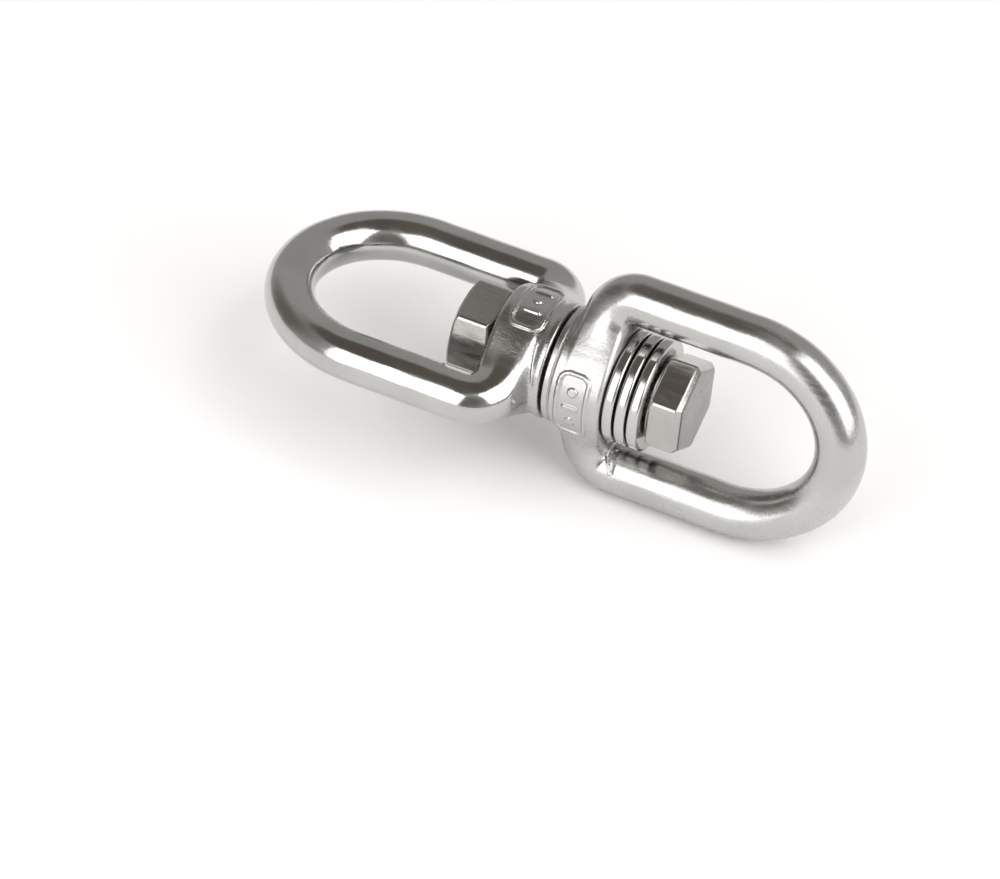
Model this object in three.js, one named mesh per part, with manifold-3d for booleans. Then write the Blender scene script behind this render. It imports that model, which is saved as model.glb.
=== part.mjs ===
// Anchor swivel, eye and eye: two cast eyes turn freely on one M8 bolt, which is
// held by a nut inside the chain eye and bears on three washers inside the
// anchor eye. Millimetres, +X along the swivel axis, +Z up, origin on the axis
// half way between the two hubs.
import * as THREE from 'three';
import { mergeVertices } from 'three/addons/utils/BufferGeometryUtils.js';
import Module from 'manifold-3d';

const wasm = await Module();
wasm.setup();

// Eye loop, one round bar
const BAR_R = 3.7;
const LEG_Y = 13.8;            // bar centre to swivel axis
const BOW_X = 26.9;            // where the straight legs end
const BOW_REACH = 15.6;        // bow centre line past BOW_X
const CORNER_R = 4.4;          // bend of a leg into the hub, on the centre line
const CORNER_X = 10.0;         // where a leg starts to bend
const ROOT_Y = 5.8;            // where the bar ends inside the hub wall
const BAR_SIDES = 24;
const LOOP_STEPS = 54;

// Hubs
const HUB_R = 8.8;
const HUB_OUT_X = 9.4;         // outer face of each hub
const HUB_GAP = 0.3;           // between the two hubs
const HUB_BEVEL = 0.5;
const BORE_R = 4.08;
const BORE_PAST = 1;           // how far the boring cut runs past a face
const LIP_R = 8.7;             // rounded lip of the chain eye's hub
const LIP_EDGE = 0.3;
const NECK_R = 8.35;           // shallow neck behind the lip
const COLLAR_R = 8.6;          // thin collar of the anchor eye's hub
const COLLAR_X = 1.3;

// Bolt and nut
const SHANK_R = 4.0;
const CORE_R = 3.35;           // bolt under the nut, at the bottom of its thread
const RUNOUT = 0.65;           // taper from the core to the shank
const NUT_BORE_R = 3.65;
const ACROSS_FLATS = 13;
const HEAD_H = 5.3;
const HEAD_RELIEF = 0.4;       // round bearing face under the hexagon
const NUT_H = 6.0;
const END_CIRCLE_R = 0.475 * ACROSS_FLATS;
const CHAMFER_SLOPE = Math.tan(THREE.MathUtils.degToRad(30));
const END_OUT = 0.5;           // bolt end past the nut
const END_CHAMFER = 0.6;

// Washers
const WASHER_COUNT = 3;
const WASHER_R = 8.4;
const WASHER_BORE_R = 4.2;
const WASHER_T = 1.5;
const WASHER_EDGE = 0.35;      // rounding of the rim
const WASHER_GAP = 0.4;        // between two washers
const SEAT_GAP = 0.3;          // hub to washer, washer to head, hub to nut

const ROUND_SIDES = 48;

// Turns about the swivel axis, from +Y towards +Z
const ANCHOR_EYE_TURN = THREE.MathUtils.degToRad(77.1);
const HEAD_TURN = THREE.MathUtils.degToRad(26.3);
const NUT_TURN = THREE.MathUtils.degToRad(9.0);

const WASHER_X = HUB_OUT_X + SEAT_GAP;
const WASHER_PITCH = WASHER_T + WASHER_GAP;
const HEAD_X = WASHER_X + WASHER_COUNT * WASHER_PITCH - WASHER_GAP + SEAT_GAP;
const NUT_X = HUB_OUT_X + SEAT_GAP;   // measured towards -X
const HEX_R = ACROSS_FLATS / 2 / Math.cos(Math.PI / 6);
const CHAMFER_X = (HEX_R - END_CIRCLE_R) * CHAMFER_SLOPE;

const steel = (color, roughness) => new THREE.MeshStandardMaterial({ color, roughness, metalness: 1 });

function toSolid(geometry) {
  geometry.deleteAttribute('normal');
  geometry.deleteAttribute('uv');
  const closed = mergeVertices(geometry, 1e-5);
  const triVerts = new Uint32Array(closed.index.array);
  const vertProperties = new Float32Array(closed.attributes.position.array);
  return new wasm.Manifold(new wasm.Mesh({ numProp: 3, vertProperties, triVerts }));
}

function toGeometry(solid) {
  const { numProp, vertProperties, triVerts } = solid.getMesh();
  const geometry = new THREE.BufferGeometry();
  const stored = new THREE.InterleavedBuffer(vertProperties, numProp);
  geometry.setAttribute('position', new THREE.InterleavedBufferAttribute(stored, 3, 0));
  geometry.setIndex(new THREE.BufferAttribute(triVerts, 1));
  return geometry;
}

// A body of revolution about the X axis, from the [x, radius] points of its section.
function turned(section) {
  const points = [...section, section[0]].map(([x, r]) => new THREE.Vector2(r, x));
  return toSolid(new THREE.LatheGeometry(points, ROUND_SIDES).rotateZ(-Math.PI / 2));
}

// A hexagonal prism from x = 0 to x = length, one corner on +Y.
function hexPrism(length) {
  const outline = new THREE.Shape();
  for (let i = 0; i < 6; i += 1) {
    const a = (i * Math.PI) / 3;
    outline[i === 0 ? 'moveTo' : 'lineTo'](HEX_R * Math.sin(a), HEX_R * Math.cos(a));
  }
  const prism = new THREE.ExtrudeGeometry(outline, { depth: length, bevelEnabled: false });
  return toSolid(prism.rotateY(Math.PI / 2));
}

// Centre line of an eye's bar: hub wall, corner, leg, half-oval bow, and back.
class LoopPath extends THREE.Curve {
  getPoint(t, target = new THREE.Vector3()) {
    const side = t < 0.5 ? 1 : -1;
    const rootLength = LEG_Y - CORNER_R - ROOT_Y;
    const cornerLength = (CORNER_R * Math.PI) / 2;
    const legLength = BOW_X - CORNER_X;
    const bowLength = ((BOW_REACH + LEG_Y) / 2) * (Math.PI / 2);
    const total = rootLength + cornerLength + legLength + bowLength;
    let s = 2 * total * Math.min(t, 1 - t);
    if (s < rootLength) {
      return target.set(CORNER_X - CORNER_R, side * (ROOT_Y + s), 0);
    }
    s -= rootLength;
    if (s < cornerLength) {
      const a = s / CORNER_R;
      const y = LEG_Y - CORNER_R + CORNER_R * Math.sin(a);
      return target.set(CORNER_X - CORNER_R * Math.cos(a), side * y, 0);
    }
    s -= cornerLength;
    if (s < legLength) {
      return target.set(CORNER_X + s, side * LEG_Y, 0);
    }
    const a = ((s - legLength) / bowLength) * (Math.PI / 2);
    return target.set(BOW_X + BOW_REACH * Math.sin(a), side * LEG_Y * Math.cos(a), 0);
  }
}

function loopSolid() {
  const bar = new THREE.Shape();
  bar.absarc(0, 0, BAR_R, 0, 2 * Math.PI);
  return toSolid(new THREE.ExtrudeGeometry(bar, {
    steps: LOOP_STEPS, curveSegments: BAR_SIDES / 2, extrudePath: new LoopPath(),
  }));
}

// Hub sections run from the inner face to the bevelled outer face.
const outerEnd = [
  [HUB_OUT_X - HUB_BEVEL, HUB_R],
  [HUB_OUT_X, HUB_R - HUB_BEVEL],
  [HUB_OUT_X, BORE_R],
];
const lippedHub = [
  [HUB_GAP / 2, BORE_R],
  [HUB_GAP / 2, LIP_R - LIP_EDGE],
  [HUB_GAP / 2 + LIP_EDGE, LIP_R],
  [1.0, LIP_R],
  [1.5, NECK_R],
  [2.1, NECK_R],
  [3.0, HUB_R],
  ...outerEnd,
];
const collaredHub = [
  [HUB_GAP / 2, BORE_R],
  [HUB_GAP / 2, COLLAR_R - LIP_EDGE],
  [HUB_GAP / 2 + LIP_EDGE, COLLAR_R],
  [COLLAR_X, COLLAR_R],
  [COLLAR_X, HUB_R],
  ...outerEnd,
];

// An eye in the XY plane with its hub at the origin and its bow towards +X.
function eye(hubSection) {
  const bore = turned([
    [-BORE_PAST, 0],
    [-BORE_PAST, BORE_R],
    [HUB_OUT_X + BORE_PAST, BORE_R],
    [HUB_OUT_X + BORE_PAST, 0],
  ]);
  return toGeometry(turned(hubSection).add(loopSolid()).subtract(bore));
}

// Shank and hexagon head in one piece, threaded end towards -X.
function bolt() {
  const endX = -(NUT_X + NUT_H + END_OUT);
  const topX = HEAD_X + HEAD_H;
  const hexX = HEAD_X + HEAD_RELIEF;
  const outsideR = HEX_R + 1;
  const envelope = turned([
    [hexX, 0],
    [hexX, outsideR],
    [topX - (outsideR - END_CIRCLE_R) * CHAMFER_SLOPE, outsideR],
    [topX, END_CIRCLE_R],
    [topX, 0],
  ]);
  const head = hexPrism(topX - hexX).translate([hexX, 0, 0]).intersect(envelope);
  const stem = turned([
    [endX, 0],
    [endX, CORE_R - END_CHAMFER],
    [endX + END_CHAMFER, CORE_R],
    [-NUT_X, CORE_R],
    [-NUT_X + RUNOUT, SHANK_R],
    [HEAD_X, SHANK_R],
    [HEAD_X, END_CIRCLE_R],
    [hexX + HEAD_RELIEF, END_CIRCLE_R],
    [hexX + HEAD_RELIEF, 0],
  ]);
  return toGeometry(head.add(stem));
}

// Chamfered hexagon nut from x = 0 to x = NUT_H.
function nut() {
  const envelope = turned([
    [0, NUT_BORE_R],
    [0, END_CIRCLE_R],
    [CHAMFER_X, HEX_R],
    [NUT_H - CHAMFER_X, HEX_R],
    [NUT_H, END_CIRCLE_R],
    [NUT_H, NUT_BORE_R],
  ]);
  return toGeometry(hexPrism(NUT_H).intersect(envelope));
}

function washer() {
  return toGeometry(turned([
    [0, WASHER_BORE_R],
    [0, WASHER_R - WASHER_EDGE],
    [WASHER_EDGE, WASHER_R],
    [WASHER_T - WASHER_EDGE, WASHER_R],
    [WASHER_T, WASHER_R - WASHER_EDGE],
    [WASHER_T, WASHER_BORE_R],
  ]));
}

// A named piece on the swivel axis, at x and turned about the axis.
function piece(name, geometry, material, x = 0, turn = 0) {
  const node = new THREE.Mesh(geometry, material);
  node.name = name;
  node.position.x = x;
  node.rotation.x = turn;
  return node;
}

const castSteel = steel(0xb9b7b3, 0.14);
const boltSteel = steel(0xb2afa9, 0.2);
const nutSteel = steel(0x9c9995, 0.25);
const washerSteel = steel(0xb5b3b0, 0.18);

const swivel = new THREE.Group();

// The chain eye lies flat, with its bow towards -X.
const chainEnd = new THREE.Group();
chainEnd.rotation.z = Math.PI;
chainEnd.add(piece('chain_eye', eye(lippedHub), castSteel));
swivel.add(chainEnd);

swivel.add(piece('anchor_eye', eye(collaredHub), castSteel, 0, ANCHOR_EYE_TURN));
swivel.add(piece('bolt', bolt(), boltSteel, 0, HEAD_TURN));
swivel.add(piece('nut', nut(), nutSteel, -(NUT_X + NUT_H), NUT_TURN));
for (let i = 0; i < WASHER_COUNT; i += 1) {
  const x = WASHER_X + i * WASHER_PITCH;
  swivel.add(piece(`washer_${i + 1}`, washer(), washerSteel, x));
}

export default swivel;
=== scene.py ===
"""Anchor swivel: two cast and polished eyes that turn on one hexagon bolt.

Each shown piece is the surface of a distance field, written in millimetres in
the piece's own frame: x along the swivel axis, z square to the eye.
"""
import math

import bpy
import numpy as np
from mathutils import Matrix, Vector


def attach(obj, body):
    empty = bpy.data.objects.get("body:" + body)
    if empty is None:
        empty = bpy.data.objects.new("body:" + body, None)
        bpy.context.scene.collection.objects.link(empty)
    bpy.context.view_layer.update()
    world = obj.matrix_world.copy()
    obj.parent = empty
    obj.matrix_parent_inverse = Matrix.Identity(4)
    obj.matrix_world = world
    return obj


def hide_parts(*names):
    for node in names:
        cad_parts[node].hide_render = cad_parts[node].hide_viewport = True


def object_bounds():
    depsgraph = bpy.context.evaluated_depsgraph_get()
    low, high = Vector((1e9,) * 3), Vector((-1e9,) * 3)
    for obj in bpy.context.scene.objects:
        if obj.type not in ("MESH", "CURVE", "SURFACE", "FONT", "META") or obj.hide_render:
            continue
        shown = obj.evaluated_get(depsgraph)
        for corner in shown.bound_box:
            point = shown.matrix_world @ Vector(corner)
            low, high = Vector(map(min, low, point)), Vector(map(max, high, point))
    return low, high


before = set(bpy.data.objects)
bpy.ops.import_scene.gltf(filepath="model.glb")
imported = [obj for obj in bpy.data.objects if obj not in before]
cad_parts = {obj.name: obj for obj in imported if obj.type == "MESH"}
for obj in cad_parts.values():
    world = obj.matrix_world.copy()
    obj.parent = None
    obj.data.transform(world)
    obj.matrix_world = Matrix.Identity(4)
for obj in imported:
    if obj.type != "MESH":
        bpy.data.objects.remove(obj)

CAD_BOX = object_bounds()
MM = 0.001

# Eye loop
BAR_R = 3.665
LEG_Y = 13.8
BOW_X = 26.9
BOW_REACH = 15.6
CORNER_R = 4.4
CORNER_X = 10.0
ROOT_Y = 5.8

# Hubs
HUB_R = 8.8
HUB_IN_X = 0.15
HUB_OUT_X = 9.4
BORE_R = 4.08
ROOT_BLEND = 5.4           # how far a leg flows into its hub
EDGE_BLEND = 1.1           # the same close to the hub's end faces
INSIDE_BLEND = 1.8         # softens the tight inside of a leg's bend
BLEND_WIDENS = (1.0, 3.2)  # x between which the wide blend sets in
BLEND_NARROWS = (8.4, 10.4)
HUB_CHAMFER = 0.55
FACING_R = 8.9             # the outer end face is cut flat out to here
FACING_DEPTH = 6.0

# Raised marks
MARK_HEIGHT = 0.27
MARK_LINE = 0.27           # half width of the frame's line
MARK_CORNER_R = 1.3
MARK_BAR_HALF = 0.4
MARK_STUD_R = 0.7
MARK_INSET = 0.95          # from the frame to the ends of the bars
MARK_SOFT = 0.16           # half width of the marks' sloping sides

# Nick left by the mould
NICK_DEPTH = 0.2
NICK_TIP = (11.1, 6.4)     # along the leg, and round its bar
NICK_STARTS = ((9.5, 9.1), (10.6, 10.3))

# Bolt, nut and washers
SHANK_R = 4.0
THREAD_R = 3.35
ACROSS_FLATS = 13.0
HEAD_X = 15.3
HEX_X = 15.7
HEAD_TOP_X = 20.6
HEAD_CHAMFER = 0.75
HEAD_DISH = 0.07
HEAD_UNDERSIDE_R = 7.25    # where the underside's corners start to slope off
SEAT_R = 6.2
SEAT_DEPTH = 2.0
NUT_X = -9.7
NUT_H = 6.0
NUT_BORE_R = 3.65
NUT_CHAMFER_R = 6.35       # circle where the corners start to slope off, at 30 degrees
NUT_MOUTH = 0.45           # countersink of the threaded hole
BOLT_END_X = -16.2
BOLT_END_CHAMFER = 0.5
THREAD_PITCH = 1.25
THREAD_DEPTH = 0.28
WASHER_R = 8.4
WASHER_BORE_R = 4.2
WASHER_T = 1.66
WASHER_X = (9.47, 11.42, 13.34)
WASHER_RIM = 0.55

ANCHOR_EYE_TURN = math.radians(77.1)
HEAD_TURN = math.radians(26.3)
NUT_TURN = math.radians(9.0)


# Distance fields

def smooth_min(a, b, k):
    """The lesser of a and b, in mm, with a fillet where they are within k of each other."""
    h = np.maximum(k - np.abs(a - b), 0) / k
    return np.minimum(a, b) - h * h * k * 0.25


def smooth_max(a, b, k):
    return -smooth_min(-a, -b, k)


def step(x, low, high):
    """0 below low, 1 above high, smooth between."""
    t = np.clip((x - low) / (high - low), 0, 1)
    return t * t * (3 - 2 * t)


def bump(x, centre, half, soft):
    """1 inside centre +- half, 0 outside, with soft shoulders."""
    return 1 - step(np.abs(x - centre), half - soft / 2, half + soft / 2)


def arc_distance(x, y, cx, cy, radius):
    """Distance to the quarter of a circle left of and above its centre."""
    dx, dy = x - cx, y - cy
    on_arc = np.abs(np.hypot(dx, dy) - radius)
    to_left = np.hypot(dx + radius, dy)
    to_top = np.hypot(dx, dy - radius)
    inside = (dx <= 0) & (dy >= 0)
    return np.where(inside, on_arc, np.minimum(to_left, to_top))


def oval_distance(x, y, a, b):
    """Distance to the half ellipse x >= 0, by the nearest point's centre of curvature."""
    px, py = np.maximum(x, 0), np.abs(y)
    tx = np.full_like(px, math.sqrt(0.5))
    ty = tx.copy()
    for _ in range(3):
        ex = (a * a - b * b) * tx ** 3 / a
        ey = (b * b - a * a) * ty ** 3 / b
        reach = np.hypot(a * tx - ex, b * ty - ey)
        away = np.maximum(np.hypot(px - ex, py - ey), 1e-6)
        tx = np.clip(((px - ex) * reach / away + ex) / a, 0, 1)
        ty = np.clip(((py - ey) * reach / away + ey) / b, 0, 1)
        size = np.maximum(np.hypot(tx, ty), 1e-6)
        tx, ty = tx / size, ty / size
    return np.hypot(x - a * tx, np.abs(y) - b * ty)


def loop_distance(x, y, z):
    """Distance to the surface of the round bar of an eye."""
    y = np.abs(y)
    top = LEG_Y - CORNER_R
    root = np.hypot(x - (CORNER_X - CORNER_R), y - np.clip(y, ROOT_Y, top))
    corner = arc_distance(x, y, CORNER_X, top, CORNER_R)
    leg = np.hypot(x - np.clip(x, CORNER_X, BOW_X), y - LEG_Y)
    bow = oval_distance(x - BOW_X, y, BOW_REACH, LEG_Y)
    bend = np.minimum(smooth_min(root, leg, INSIDE_BLEND), corner)
    flat = np.minimum(bend, bow)
    return np.hypot(flat, z) - BAR_R


def hand_polish(x, y, z, seed):
    """Slow unevenness that hand polishing leaves, in mm."""
    a = np.sin(0.43 * x + 0.31 * y + 1.7 * seed) * np.sin(0.37 * z + 0.52 * x + seed)
    b = np.sin(0.95 * y - 0.61 * z + 2.3 * seed) * np.sin(0.83 * x + 0.7 * z - seed)
    return 0.022 * a + 0.009 * b


def lipped_radius(x):
    """Chain eye's hub: a rounded lip at the joint, a hollow neck, the barrel."""
    lip_r, neck_r = 8.72, 8.5
    lip = lip_r - 0.4 * step(-x, -0.7, 0.0) ** 2
    barrel = HUB_R + 0.05 * np.sin(0.6 * x)
    r = lip + (neck_r - lip) * step(x, 0.95, 2.1)
    return r + (barrel - r) * step(x, 1.9, 4.4)


def collared_radius(x):
    """Anchor eye's hub: a thin collar, a fine crease, the barrel."""
    collar_r, crease_x, crease_depth = 8.62, 1.3, 0.2
    collar = collar_r - 0.3 * step(-x, -0.5, -0.1) ** 2
    barrel = HUB_R + 0.04 * np.sin(0.7 * x + 1)
    r = collar + (barrel - collar) * step(x, 1.2, 1.7)
    return r - crease_depth * bump(x, crease_x, 0.15, 0.25)


def rounded_box(u, v, half_u, half_v, corner):
    """Distance to a rectangle with round corners."""
    qu, qv = np.abs(u) - half_u + corner, np.abs(v) - half_v + corner
    outside = np.hypot(np.maximum(qu, 0), np.maximum(qv, 0))
    return outside + np.minimum(np.maximum(qu, qv), 0) - corner


def cartouche(x, y, z, mark):
    """Height of a raised rounded frame with plain bars and studs inside it, in mm."""
    r = np.hypot(y, z)
    turn = np.arctan2(z, y) - math.radians(mark["turn"])
    u = (np.mod(turn + math.pi, 2 * math.pi) - math.pi) * HUB_R
    v = x - mark["x"]
    edge = rounded_box(u, v, mark["half_length"], mark["half_width"], MARK_CORNER_R)
    height = bump(edge, 0, MARK_LINE, 0.3)
    bar_half = mark["half_width"] - MARK_INSET
    shapes = [rounded_box(u - place, v, MARK_BAR_HALF, bar_half, MARK_BAR_HALF - 0.02)
              for place in mark["bars"]]
    shapes += [np.hypot(u - place, v) - MARK_STUD_R for place in mark["studs"]]
    for shape in shapes:
        height = np.maximum(height, 1 - step(shape, -MARK_SOFT, MARK_SOFT))
    return MARK_HEIGHT * height * step(r, HUB_R - 2.5, HUB_R - 1.5)


def segment_distance(u, v, start, end):
    """Distance to a straight stretch between two points of a plane."""
    du, dv = end[0] - start[0], end[1] - start[1]
    share = np.clip(((u - start[0]) * du + (v - start[1]) * dv) / (du * du + dv * dv), 0, 1)
    return np.hypot(u - start[0] - share * du, v - start[1] - share * dv)


def mould_nick(x, y, z):
    """Depth of a small V-shaped nick on one leg, just past its bend, in mm."""
    round_bar = np.arctan2(z, -(y + LEG_Y)) * BAR_R
    arms = np.minimum(*(segment_distance(x, round_bar, start, NICK_TIP)
                        for start in NICK_STARTS))
    on_bar = step(np.hypot(y + LEG_Y, z), BAR_R - 1.0, BAR_R - 0.6) * (y < 0)
    return NICK_DEPTH * (1 - step(arms, 0.05, 0.32)) * on_bar


def hub_distance(x, r, radius):
    """Distance to a hub of the given outline, chamfered at its outer end."""
    middle = HUB_OUT_X / 2
    hub = smooth_max(r - radius(x), np.abs(x - middle) - middle, 0.35)
    hub = smooth_max(hub, x - HUB_OUT_X, 0.5)
    chamfer = (r + x - HUB_R - HUB_OUT_X + HUB_CHAMFER) * math.sqrt(0.5)
    return smooth_max(hub, chamfer, 0.25)


def eye_field(eye):
    """Distance field of one eye: bar and hub in one, faced and bored."""
    def field(x, y, z):
        r = np.hypot(y, z)
        bar = loop_distance(x, y, z)
        hub = hub_distance(x, r, eye["radius"])
        amid = step(x, *BLEND_WIDENS) * (1 - step(x, *BLEND_NARROWS))
        body = smooth_min(bar, hub, EDGE_BLEND + (ROOT_BLEND - EDGE_BLEND) * amid)
        facing_half = FACING_DEPTH / 2
        facing = np.maximum(r - FACING_R, np.abs(x - HUB_OUT_X - facing_half) - facing_half)
        body = smooth_max(body, -facing, 0.25)
        body = smooth_max(body, HUB_IN_X - x, 0.3)
        bore = np.maximum(r - BORE_R, np.abs(x - HUB_OUT_X / 2) - HUB_OUT_X)
        body = smooth_max(body, -bore, 0.35)
        body = body - cartouche(x, y, z, eye["mark"])
        if eye["nick"]:
            body = body + mould_nick(x, y, z)
        return body + hand_polish(x, y, z, eye["seed"])
    return field


def hex_distance(y, z):
    """Rounded hexagon with one corner on +y, negative inside."""
    apothem = ACROSS_FLATS / 2
    d = np.abs(z) - apothem
    for k in (1, 2):
        a = math.pi / 2 + k * math.pi / 3
        d = smooth_max(d, np.abs(y * math.cos(a) + z * math.sin(a)) - apothem, 0.35)
    return d


def thread_radius(x, y, z):
    """Radius of the thread: a cosine groove that climbs one pitch in a turn."""
    turn = np.arctan2(z, y) / (2 * math.pi)
    groove = 0.5 + 0.5 * np.cos(2 * math.pi * (x / THREAD_PITCH - turn))
    return THREAD_R - THREAD_DEPTH * groove


def head_distance(x, y, z):
    """Distance to the hexagon head: chamfered, slightly dished, its underside sloped."""
    r = np.hypot(y, z)
    flats = hex_distance(y, z)
    head = smooth_max(flats, x - HEAD_TOP_X, 0.25)
    head = smooth_max(head, (flats + x - HEAD_TOP_X + HEAD_CHAMFER) * math.sqrt(0.5), 0.2)
    head = smooth_max(head, HEX_X - x, 0.3)
    head = smooth_max(head, (r - HEAD_UNDERSIDE_R) * 0.9 + (HEX_X - x) * 0.35, 0.2)
    dish = (1 - step(r, 1.0, 5.2)) * step(x, HEAD_TOP_X - 1.5, HEAD_TOP_X - 0.5)
    return head + HEAD_DISH * dish


def stem_distance(x, y, z):
    """Distance to the shank and its threaded end, chamfered at the tip."""
    r = np.hypot(y, z)
    threaded = thread_radius(x, y, z)
    shank_r = threaded + (SHANK_R - threaded) * step(x, NUT_X + 0.05, NUT_X + 0.6)
    stem = smooth_max(r - shank_r, BOLT_END_X - x, 0.3)
    chamfer = (r - x + BOLT_END_X - THREAD_R + BOLT_END_CHAMFER) * math.sqrt(0.5)
    stem = smooth_max(stem, chamfer, 0.1)
    return smooth_max(stem, x - HEAD_X - SEAT_DEPTH / 2, 0.2)


def bolt_field(x, y, z):
    seat_half = SEAT_DEPTH / 2
    seat = smooth_max(np.hypot(y, z) - SEAT_R, np.abs(x - HEAD_X - seat_half) - seat_half, 0.15)
    head = smooth_min(head_distance(x, y, z), seat, 0.25)
    body = np.minimum(head, stem_distance(x, y, z))
    forging = np.sin(1.3 * y + 0.4 * z) * np.sin(0.9 * z - 0.7 * y + 1.1 * x)
    return body + 0.012 * forging


def nut_field(x, y, z):
    r = np.hypot(y, z)
    mid = NUT_X - NUT_H / 2
    along = np.abs(x - mid) - NUT_H / 2
    flats = hex_distance(y, z)
    body = smooth_max(flats, along, 0.2)
    body = smooth_max(body, (flats + along + 0.3) * math.sqrt(0.5), 0.2)
    tangent, cosine = 0.577, 0.866
    chamfer = (along + (r - NUT_CHAMFER_R) * tangent) * cosine
    body = smooth_max(body, chamfer, 0.25)
    bore = smooth_max(NUT_BORE_R - r, NUT_BORE_R - r + along + NUT_MOUTH, 0.1)
    body = smooth_max(body, bore, 0.12)
    return body + 0.01 * np.sin(1.1 * x + 0.9 * y) * np.sin(0.8 * z + 0.5 * x)


def washer_field(middle):
    """Distance field of a flat ring with a rounded rim, centred at x = middle."""
    def field(x, y, z):
        r = np.hypot(y, z)
        along = np.abs(x - middle) - WASHER_T / 2
        body = smooth_max(r - WASHER_R, along, WASHER_RIM)
        body = smooth_max(body, WASHER_BORE_R - r, 0.3)
        ripple = np.sin(3 * np.arctan2(z, y) + middle) * step(r, 5.0, 8.0)
        return body + 0.015 * ripple
    return field


# Surfaces from distance fields

def graded(low, high, marks):
    """Grid lines from low to high; marks are (up to, spacing) in rising order."""
    lines, at = [low], low
    for end, spacing in marks:
        count = max(1, math.ceil((min(end, high) - at) / spacing))
        lines.extend(np.linspace(at, min(end, high), count + 1)[1:])
        at = min(end, high)
    return np.array(lines)


def sampled(field, gx, gy, gz):
    """The field's values on the grid, one slice across x at a time."""
    values = np.empty((len(gx), len(gy), len(gz)), np.float32)
    y, z = np.meshgrid(gy, gz, indexing="ij")
    for i, x in enumerate(gx):
        values[i] = field(np.full_like(y, x), y, z)
    return values


def gradient(field, p):
    """The field's slope at each point, by central differences."""
    h = 0.01
    g = np.empty_like(p)
    for k in range(3):
        q = p.copy()
        q[:, k] += h
        ahead = field(*q.T)
        q[:, k] -= 2 * h
        g[:, k] = (ahead - field(*q.T)) / (2 * h)
    return g


def cell_points(values, grids):
    """The cells the surface crosses and, for each, the mean of its edge crossings."""
    inside = values < 0
    corners = [inside[i:i - 1 or None, j:j - 1 or None, k:k - 1 or None]
               for i in (0, 1) for j in (0, 1) for k in (0, 1)]
    total = sum(c.astype(np.int8) for c in corners)
    cells = np.argwhere((total > 0) & (total < 8))
    index = np.full(tuple(n - 1 for n in values.shape), -1, np.int64)
    index[tuple(cells.T)] = np.arange(len(cells))
    sums, counts = np.zeros((len(cells), 3)), np.zeros(len(cells))
    for axis in range(3):
        others = [a for a in range(3) if a != axis]
        for da in (0, 1):
            for db in (0, 1):
                start = cells.copy()
                start[:, others[0]] += da
                start[:, others[1]] += db
                end = start.copy()
                end[:, axis] += 1
                v0, v1 = values[tuple(start.T)], values[tuple(end.T)]
                cross = (v0 < 0) != (v1 < 0)
                share = np.where(cross, v0 / np.where(cross, v0 - v1, 1), 0)
                point = np.stack([grids[a][start[:, a]] for a in range(3)], 1)
                span = grids[axis][end[:, axis]] - grids[axis][start[:, axis]]
                point[:, axis] += share * span
                sums += point * cross[:, None]
                counts += cross
    return index, sums / counts[:, None], inside


def crossing_quads(index, inside):
    """One quad round every grid edge that the surface crosses."""
    quads = []
    for axis in range(3):
        b, c = (axis + 1) % 3, (axis + 2) % 3
        first = inside.take(range(inside.shape[axis] - 1), axis)
        second = inside.take(range(1, inside.shape[axis]), axis)
        edges = np.argwhere(first != second)
        keep = (edges[:, b] > 0) & (edges[:, c] > 0)
        keep &= (edges[:, b] < inside.shape[b] - 1) & (edges[:, c] < inside.shape[c] - 1)
        edges = edges[keep]
        ring = []
        for db, dc in ((-1, -1), (0, -1), (0, 0), (-1, 0)):
            cell = edges.copy()
            cell[:, b] += db
            cell[:, c] += dc
            ring.append(index[tuple(cell.T)])
        quad = np.stack(ring, 1)
        leaving = first[tuple(edges.T)]
        quads.append(np.where(leaving[:, None], quad, quad[:, ::-1]))
    return np.concatenate(quads)


def surface(field, grids):
    """Vertices on the zero of the field, its unit normals there, and quads."""
    rounds, longest_move = 4, 0.08
    index, points, inside = cell_points(sampled(field, *grids), grids)
    for _ in range(rounds):
        g = gradient(field, points)
        length = np.maximum((g * g).sum(1), 0.05)
        move = g * (field(*points.T) / length)[:, None]
        points -= np.clip(move, -longest_move, longest_move)
    g = gradient(field, points)
    normals = g / np.maximum(np.linalg.norm(g, axis=1), 1e-6)[:, None]
    return points, normals, crossing_quads(index, inside)


def grown(name, field, grids, matrix, material):
    """A mesh object of the field's surface, put in place by matrix, in metres."""
    points, normals, quads = surface(field, grids)
    turn = np.array(matrix.to_3x3())
    points = points @ turn.T * MM
    normals = normals @ turn.T
    mesh = bpy.data.meshes.new(name)
    mesh.vertices.add(len(points))
    mesh.vertices.foreach_set("co", points.astype(np.float32).ravel())
    mesh.loops.add(4 * len(quads))
    mesh.loops.foreach_set("vertex_index", quads.astype(np.int32).ravel())
    mesh.polygons.add(len(quads))
    mesh.polygons.foreach_set("loop_start", np.arange(0, 4 * len(quads), 4, dtype=np.int32))
    mesh.update(calc_edges=True)
    mesh.validate()
    mesh.shade_smooth()
    mesh.normals_split_custom_set_from_vertices(normals.astype(np.float32))
    mesh.materials.append(material)
    shown = bpy.data.objects.new(name, mesh)
    bpy.context.scene.collection.objects.link(shown)
    return shown


# Materials

CLOUD_SCALE = 110.0        # noise scales, per metre
GRAIN_SCALE = 2400.0
PIT_SCALE = 2300.0
STREAK_SCALE = (180.0, 1500.0, 1500.0)
GRAIN_HEIGHT = 0.00006     # heights of the bumps, in metres
SCRATCH_HEIGHT = 0.00002
PIT_HEIGHT = 0.00012
PIT_STRENGTH = 0.3
SKIN_ROUGHNESS = 0.1       # added where the casting's skin is left
# painted shade: a darker colour for the end face of the head
END_FACE_SHADE_COLOR = (0.26, 0.255, 0.247, 1)
LOW_SKIN = (-0.015, -0.004)    # heights between which the low side's skin fades


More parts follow.
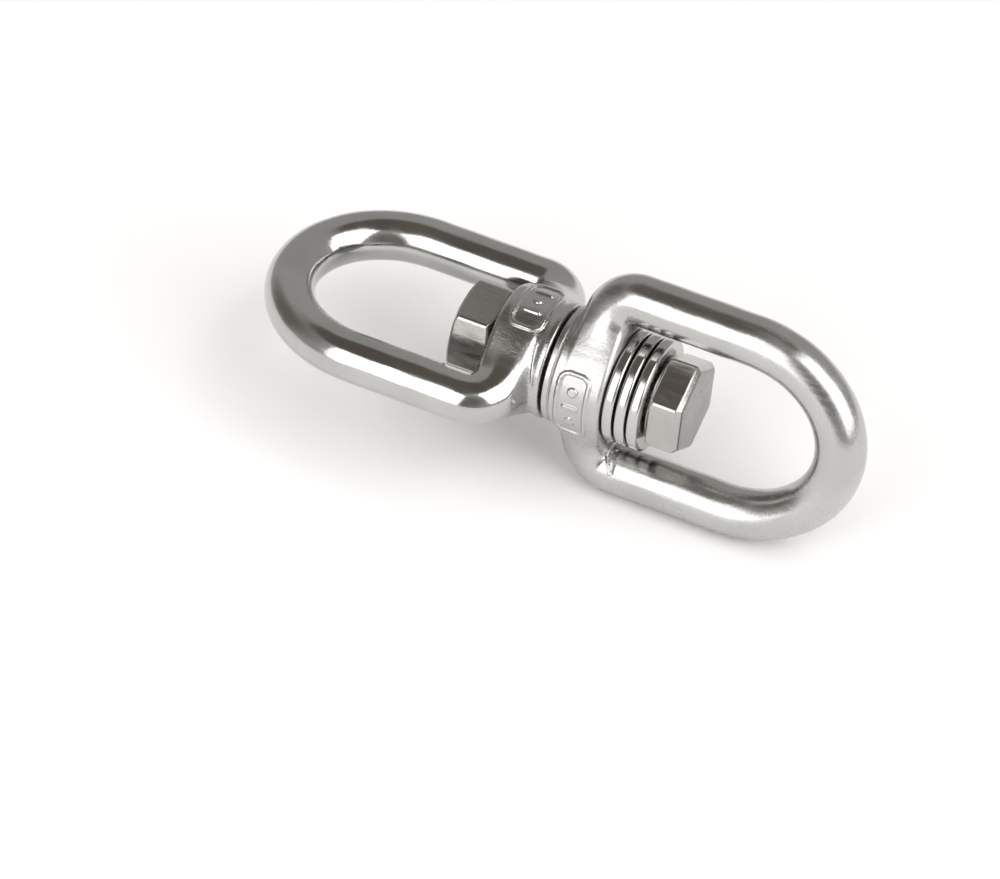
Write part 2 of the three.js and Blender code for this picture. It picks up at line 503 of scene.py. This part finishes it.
def connect(tree, value, socket):
    """Link value to the socket if it is a socket itself, else set it there."""
    if isinstance(value, bpy.types.NodeSocket):
        tree.links.new(value, socket)
    else:
        socket.default_value = value


def linked(tree, kind, **inputs):
    """A new node with its inputs set to values, or linked where given a socket."""
    node = tree.nodes.new(kind)
    for key, value in inputs.items():
        connect(tree, value, node.inputs[key])
    return node


def noise(tree, place, scale, detail):
    return linked(tree, "ShaderNodeTexNoise", Vector=place, Scale=scale,
                  Detail=detail).outputs["Fac"]


def ramp(tree, factor, low, high, dark, light):
    """dark where factor is low, light where it is high, straight between."""
    node = tree.nodes.new("ShaderNodeMapRange")
    tree.links.new(factor, node.inputs["Value"])
    for key, value in (("From Min", low), ("From Max", high), ("To Min", dark), ("To Max", light)):
        node.inputs[key].default_value = value
    return node.outputs["Result"]


def math_node(tree, operation, *values):
    node = tree.nodes.new("ShaderNodeMath")
    node.operation = operation
    for socket, value in zip(node.inputs, values):
        connect(tree, value, socket)
    return node.outputs[0]


def mixed(tree, share, first, second):
    """The colour first where share is 0, second where it is 1."""
    node = tree.nodes.new("ShaderNodeMix")
    node.data_type = "RGBA"
    for index, value in ((0, share), (6, first), (7, second)):
        connect(tree, value, node.inputs[index])
    return node.outputs[2]


def coordinates(tree, place):
    apart = tree.nodes.new("ShaderNodeSeparateXYZ")
    tree.links.new(place, apart.inputs[0])
    return apart.outputs[0], apart.outputs[1], apart.outputs[2]


def hub_skin(tree, place):
    """1 on the hubs, falling to 0 where the polished bars leave them."""
    x, y, z = coordinates(tree, place)
    squares = [math_node(tree, "MULTIPLY", side, side) for side in (y, z)]
    radius = math_node(tree, "SQRT", math_node(tree, "ADD", *squares))
    rim, end = HUB_R * MM, HUB_OUT_X * MM
    near = ramp(tree, radius, rim + 0.0004, rim + 0.003, 1.0, 0.0)
    along = ramp(tree, math_node(tree, "ABSOLUTE", x), end + 0.0001, end + 0.0016, 1.0, 0.0)
    return math_node(tree, "MULTIPLY", near, along)


def hub_and_low_skin(tree, place):
    """The hub's skin, and half as much on what lies lowest at rest."""
    low = ramp(tree, coordinates(tree, place)[2], *LOW_SKIN, 0.55, 0.0)
    return math_node(tree, "MAXIMUM", hub_skin(tree, place), low)


def shaded_end_face(tree, place, tone):
    """tone, darkened by painted shade on the end face of the head."""
    end = HEAD_TOP_X * MM
    on_end = ramp(tree, coordinates(tree, place)[0], end - 0.00025, end - 0.0001, 0.0, 1.0)
    return mixed(tree, on_end, tone, END_FACE_SHADE_COLOR)


def steel_bumps(tree, place, streak, grain, scratch, skin):
    """Normals with fine grain and hair scratches, and pits where there is skin."""
    fine = noise(tree, place, GRAIN_SCALE, 4.0)
    last = linked(tree, "ShaderNodeBump", Strength=grain, Distance=GRAIN_HEIGHT, Height=fine)
    last = linked(tree, "ShaderNodeBump", Strength=scratch, Distance=SCRATCH_HEIGHT,
                  Height=streak, Normal=last.outputs["Normal"])
    if skin:
        strength = math_node(tree, "MULTIPLY", skin, PIT_STRENGTH)
        last = linked(tree, "ShaderNodeBump", Strength=strength, Distance=PIT_HEIGHT,
                      Height=noise(tree, place, PIT_SCALE, 2.0), Normal=last.outputs["Normal"])
    return last.outputs["Normal"]


def steel(name, color, dull, rough, grain, scratch, skin_of=None, shade_end_face=False):
    """Stainless steel with fine grain, hair scratches and slow changes of gloss.

    The tone drifts between color and dull. skin_of says where the coarser, duller skin of the
    casting is left, and the flag after it darkens the end face of the head with painted shade.
    """
    material = bpy.data.materials.new(name)
    material.use_nodes = True
    tree = material.node_tree
    shader = tree.nodes["Principled BSDF"]
    place = tree.nodes.new("ShaderNodeTexCoord").outputs["Object"]
    slow = noise(tree, place, CLOUD_SCALE, 4.0)
    stretched = linked(tree, "ShaderNodeMapping", Vector=place, Scale=STREAK_SCALE)
    streak = noise(tree, stretched.outputs["Vector"], 1.0, 3.0)
    skin = skin_of(tree, place) if skin_of else None

    tone = mixed(tree, ramp(tree, slow, 0.36, 0.64, 0.0, 1.0), (*dull, 1), (*color, 1))
    # painted shade: the head's end face gets a darker colour
    if shade_end_face:
        tone = shaded_end_face(tree, place, tone)
    gloss = ramp(tree, slow, 0.3, 0.7, rough * 0.75, rough * 1.3)
    if skin:
        gloss = math_node(tree, "ADD", gloss, math_node(tree, "MULTIPLY", skin, SKIN_ROUGHNESS))
    gloss = math_node(tree, "ADD", gloss, ramp(tree, streak, 0.4, 0.8, -0.03, 0.09))

    connect(tree, tone, shader.inputs["Base Color"])
    connect(tree, gloss, shader.inputs["Roughness"])
    connect(tree, steel_bumps(tree, place, streak, grain, scratch, skin), shader.inputs["Normal"])
    shader.inputs["Metallic"].default_value = 1.0
    return material


CHAIN_CAST = steel("polished_cast_steel", (0.54, 0.535, 0.525), (0.48, 0.475, 0.465),
                   rough=0.15, grain=0.14, scratch=0.35, skin_of=hub_skin)
ANCHOR_CAST = steel("satin_cast_steel", (0.55, 0.545, 0.535), (0.49, 0.485, 0.475),
                    rough=0.24, grain=0.18, scratch=0.4, skin_of=hub_and_low_skin)
BOLT = steel("tumbled_bolt_steel", (0.5, 0.488, 0.468), (0.41, 0.397, 0.378),
             rough=0.22, grain=0.24, scratch=0.35, shade_end_face=True)
# partly painted shade: the nut's steel tone is set a little darker, standing in for dark
# reflections from below
NUT = steel("satin_nut_steel_with_painted_shade", (0.47, 0.46, 0.443), (0.4, 0.39, 0.374),
            rough=0.22, grain=0.2, scratch=0.35)
WASHER = steel("tumbled_washer_steel", (0.56, 0.552, 0.54), (0.5, 0.492, 0.477),
               rough=0.17, grain=0.08, scratch=0.2)


# The pieces

CHAIN_MARK = {"x": 5.0, "turn": 95, "half_length": 5.1, "half_width": 2.35,
              "bars": (-2.2, 2.2), "studs": (0.0,)}
ANCHOR_MARK = {"x": 4.9, "turn": 101, "half_length": 5.3, "half_width": 2.2,
               "bars": (0.0,), "studs": (-2.6, 2.6)}
CHAIN_EYE = {"radius": lipped_radius, "mark": CHAIN_MARK, "seed": 1.0, "nick": False}
ANCHOR_EYE = {"radius": collared_radius, "mark": ANCHOR_MARK, "seed": 2.4, "nick": True}

# Each grid reaches a little past its piece and is finest where the detail is.
FINE = 0.19
COARSE = 0.36
EYE_GRIDS = (
    graded(-0.2, 46.6, ((9.9, FINE), (46.6, COARSE))),
    graded(-17.9, 17.9, ((-9.2, COARSE), (9.2, FINE), (17.9, COARSE))),
    graded(-9.4, 9.4, ((9.4, 0.2),)),
)
BOLT_GRIDS = (
    graded(-16.5, 20.9, ((-9.3, 0.14), (15.0, 0.4), (20.9, 0.13))),
    graded(-7.9, 7.9, ((7.9, 0.15),)),
    graded(-7.9, 7.9, ((7.9, 0.15),)),
)
NUT_GRIDS = (
    graded(-16.0, -9.4, ((-9.4, 0.14),)),
    graded(-7.9, 7.9, ((7.9, 0.16),)),
    graded(-7.9, 7.9, ((7.9, 0.16),)),
)


def put(piece, body, node):
    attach(piece, body)
    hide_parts(node)


def build_eyes():
    half_turn = Matrix.Rotation(math.pi, 4, "Z")
    chain = grown("chain_eye_cast", eye_field(CHAIN_EYE), EYE_GRIDS, half_turn, CHAIN_CAST)
    put(chain, "chain_eye", "chain_eye")
    turned = Matrix.Rotation(ANCHOR_EYE_TURN, 4, "X")
    anchor = grown("anchor_eye_cast", eye_field(ANCHOR_EYE), EYE_GRIDS, turned, ANCHOR_CAST)
    put(anchor, "anchor_eye", "anchor_eye")


def build_bolt_and_nut():
    turned = Matrix.Rotation(HEAD_TURN, 4, "X")
    put(grown("hex_bolt", bolt_field, BOLT_GRIDS, turned, BOLT), "bolt", "bolt")
    turned = Matrix.Rotation(NUT_TURN, 4, "X")
    put(grown("hex_nut", nut_field, NUT_GRIDS, turned, NUT), "bolt", "nut")


def build_washers():
    across = graded(-WASHER_R - 0.4, WASHER_R + 0.4, ((WASHER_R + 0.4, 0.18),))
    for number, x in enumerate(WASHER_X, 1):
        low, high = x - 0.2, x + WASHER_T + 0.2
        grids = (graded(low, high, ((high, 0.12),)), across, across)
        node = f"washer_{number}"
        ring = grown(f"thrust_{node}", washer_field(x + WASHER_T / 2), grids,
                     Matrix.Identity(4), WASHER)
        put(ring, node, node)


# Studio

FLOOR_DROP = 0.00005
FLOOR_HALF = 1.6
CAMERA_AZIMUTH = math.radians(22.92)
CAMERA_ELEVATION = math.radians(43.27)
CAMERA_ROLL = math.radians(4.2)
CAMERA_TARGET = Vector((-0.00455, -0.01065, -0.00854))
CAMERA_DISTANCE = 0.66982
CAMERA_LENS = 169.66
WALL = (0.45, 0.44, 0.425, 1)
DARK_LOBES = (
    {"toward": (-98, 26), "radii": (12, 34), "color": (0.19, 0.175, 0.16, 1)},
    {"toward": (164, 24), "radii": (16, 32), "color": (0.22, 0.21, 0.195, 1)},
    {"toward": (-109, 83), "radii": (26, 33), "color": (0.15, 0.132, 0.115, 1)},
)


def pale_floor():
    material = bpy.data.materials.new("pale_floor")
    material.use_nodes = True
    tree = material.node_tree
    shader = tree.nodes["Principled BSDF"]
    place = tree.nodes.new("ShaderNodeTexCoord").outputs["Object"]
    tone = ramp(tree, noise(tree, place, 3.0, 2.0), 0.3, 0.7, 0.9, 0.93)
    connect(tree, tone, shader.inputs["Base Color"])
    shader.inputs["Roughness"].default_value = 0.9
    shader.inputs["Specular IOR Level"].default_value = 0.1
    return material


def build_floor(height):
    mesh = bpy.data.meshes.new("floor")
    corners = [(side * FLOOR_HALF, end * FLOOR_HALF, height)
               for side, end in ((-1, -1), (1, -1), (1, 1), (-1, 1))]
    mesh.from_pydata(corners, [], [(0, 1, 2, 3)])
    mesh.materials.append(pale_floor())
    floor = bpy.data.objects.new("floor", mesh)
    bpy.context.scene.collection.objects.link(floor)


def heading(toward):
    """Unit vector at an azimuth from +Y towards +X and an elevation, both in degrees."""
    azimuth, elevation = math.radians(toward[0]), math.radians(toward[1])
    flat = math.cos(elevation)
    return Vector((math.sin(azimuth) * flat, math.cos(azimuth) * flat, math.sin(elevation)))


def soft_light(name, toward, distance, size, radiance, in_reflections=True):
    """Rectangular light in the heading toward, aimed at the origin."""
    away = heading(toward)
    data = bpy.data.lights.new(name, "AREA")
    data.shape = "RECTANGLE"
    data.size, data.size_y = size
    data.energy = radiance * math.pi * size[0] * size[1]
    light = bpy.data.objects.new(name, data)
    light.location = away * distance
    light.rotation_mode = "QUATERNION"
    light.rotation_quaternion = away.to_track_quat("Z", "Y")
    light.visible_camera = False
    light.visible_glossy = in_reflections
    bpy.context.scene.collection.objects.link(light)


def build_lights():
    soft_light("right_softbox", (100, 38), 1.1, (0.95, 1.25), 2.4)
    soft_light("front_softbox", (194, 28), 1.1, (0.66, 1.08), 2.5)
    soft_light("floor_wash", (0, 90), 0.9, (1.2, 1.2), 0.95, in_reflections=False)


def darkened(tree, direction, color, lobe):
    """color, with a soft-edged darker lobe round one direction of the sky."""
    nearness = tree.nodes.new("ShaderNodeVectorMath")
    nearness.operation = "DOT_PRODUCT"
    tree.links.new(direction, nearness.inputs[0])
    nearness.inputs[1].default_value = heading(lobe["toward"])
    inner, outer = (math.cos(math.radians(a)) for a in lobe["radii"])
    share = ramp(tree, nearness.outputs["Value"], outer, inner, 0.0, 1.0)
    return mixed(tree, share, color, lobe["color"])


def build_world():
    """Grey all round, with a dark ceiling and two darker parts of the room."""
    world = bpy.data.worlds.new("studio")
    world.use_nodes = True
    tree = world.node_tree
    direction = tree.nodes.new("ShaderNodeTexCoord").outputs["Generated"]
    color = WALL
    for lobe in DARK_LOBES:
        color = darkened(tree, direction, color, lobe)
    tree.links.new(color, tree.nodes["Background"].inputs["Color"])
    bpy.context.scene.world = world


def build_camera():
    flat = math.cos(CAMERA_ELEVATION)
    back = Vector((math.sin(CAMERA_AZIMUTH) * flat, -math.cos(CAMERA_AZIMUTH) * flat,
                   math.sin(CAMERA_ELEVATION)))
    right = Vector((math.cos(CAMERA_AZIMUTH), math.sin(CAMERA_AZIMUTH), 0))
    level = Matrix((right, back.cross(right), back)).transposed()
    camera = bpy.data.objects.new("camera", bpy.data.cameras.new("camera"))
    camera.data.lens = CAMERA_LENS
    camera.data.clip_start, camera.data.clip_end = 0.05, 20
    roll = Matrix.Rotation(CAMERA_ROLL, 3, "Z")
    camera.matrix_world = Matrix.LocRotScale(
        CAMERA_TARGET + back * CAMERA_DISTANCE, level @ roll, None)
    bpy.context.scene.collection.objects.link(camera)
    bpy.context.scene.camera = camera


def main():
    build_eyes()
    build_bolt_and_nut()
    build_washers()
    build_floor(CAD_BOX[0].z - FLOOR_DROP)
    build_lights()
    build_world()
    build_camera()
    bpy.context.scene.view_settings.view_transform = "Standard"


main()
